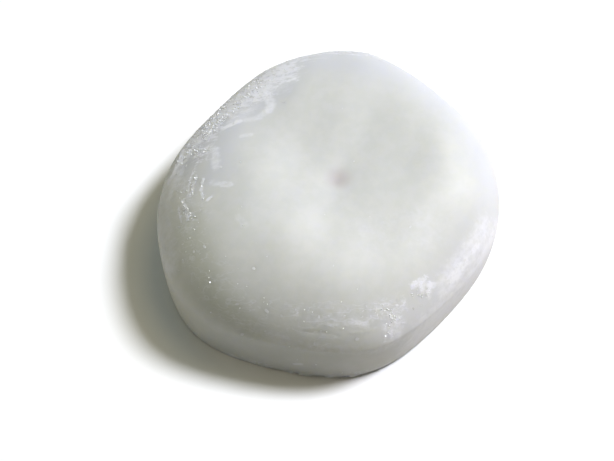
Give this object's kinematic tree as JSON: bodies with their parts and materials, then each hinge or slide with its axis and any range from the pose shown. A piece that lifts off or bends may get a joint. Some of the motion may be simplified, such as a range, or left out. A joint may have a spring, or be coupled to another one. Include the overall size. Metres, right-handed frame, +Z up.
{
  "type": "mochi rice cake",
  "caption": "Round hand-pressed rice cake with a flat foot, a soft domed top with a pinched hollow, and a light dusting of starch.",
  "frame": {"origin": "middle of the cake's box seen from above, on the surface that the foot rests on", "axes": "+Z up, from the flat foot to the domed top; +Y towards the soft corner furthest from the pinched hollow; +X to the right when the cake is seen with +Y pointing away"},
  "size_m": [0.0608, 0.0632, 0.0214],
  "materials": {
    "rice_dough": "soft, slightly translucent white rice dough, satin where bare and matt where starch has dried on it"
  },
  "bodies": {
    "root": {"rice_cake": "rice_dough"}
  },
  "joints": []
}
